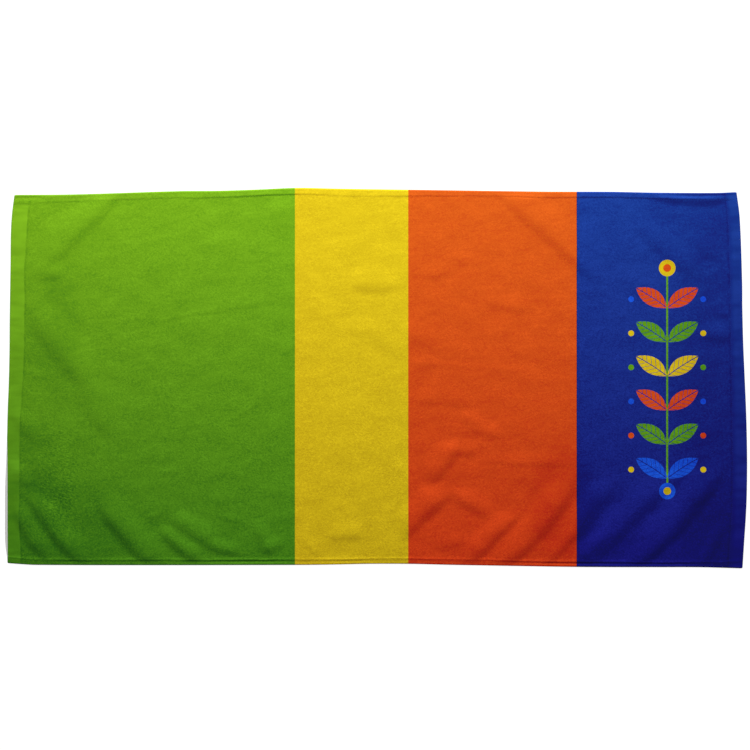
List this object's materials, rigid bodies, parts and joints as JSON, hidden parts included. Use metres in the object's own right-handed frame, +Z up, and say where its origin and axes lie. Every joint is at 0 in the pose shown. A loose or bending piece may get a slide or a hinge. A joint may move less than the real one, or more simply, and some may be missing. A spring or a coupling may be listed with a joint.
{
  "type": "sports towel",
  "caption": "Rectangular cotton terry towel laid out flat and face up, a little rumpled, with narrow sewn side hems, wider flat end hems and a printed face in plain colour blocks.",
  "frame": {"origin": "bottom centre of the bounding box, on the surface that the towel lies on", "axes": "+X along the towel from its green end to its blue end, +Y across it to its other side, +Z up out of its printed face"},
  "size_m": [1.5252, 0.7822, 0.0096],
  "materials": {
    "printed_terry": "cotton terry, sheared to a short velour pile and printed in green, yellow, orange and blue blocks on its face, white looped pile on its back",
    "sewing_thread": "matt spun sewing thread in the colour of the print beneath it"
  },
  "bodies": {
    "root": {"towel": "printed_terry"}
  },
  "joints": []
}
